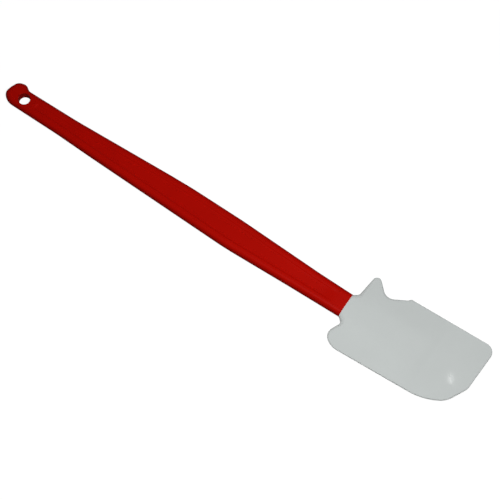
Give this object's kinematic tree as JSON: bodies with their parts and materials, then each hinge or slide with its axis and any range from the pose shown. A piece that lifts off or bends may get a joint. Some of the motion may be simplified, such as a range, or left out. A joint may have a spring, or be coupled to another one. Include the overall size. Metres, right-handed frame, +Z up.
{
  "type": "rubber spatula",
  "caption": "Long kitchen spatula: flat moulded handle with a hanging hole and a hook bump, and a flexible silicone blade with a horn and a notch on one side.",
  "frame": {"origin": "under the middle of the bounding box, on the surface that the handle rests on", "axes": "+X along the handle from the butt to the blade, +Y towards the horn and the notch, +Z up through the thickness"},
  "size_m": [0.4184, 0.0658, 0.0085],
  "materials": {
    "red_nylon": "satin moulded nylon, deep red",
    "pale_silicone": "matt moulded silicone, pale grey"
  },
  "bodies": {
    "handle": {"handle": "red_nylon", "blade_root": "pale_silicone"},
    "blade_tip": {"blade_tip": "pale_silicone"}
  },
  "joints": [
    {"name": "blade_flex", "type": "hinge", "parent": "handle", "child": "blade_tip", "pos_m": [0.17807, -0.00056, 0.00425], "axis": [0, 1, 0], "range_deg": [-45, 45], "stiffness_Nm_per_rad": 0.08}
  ]
}
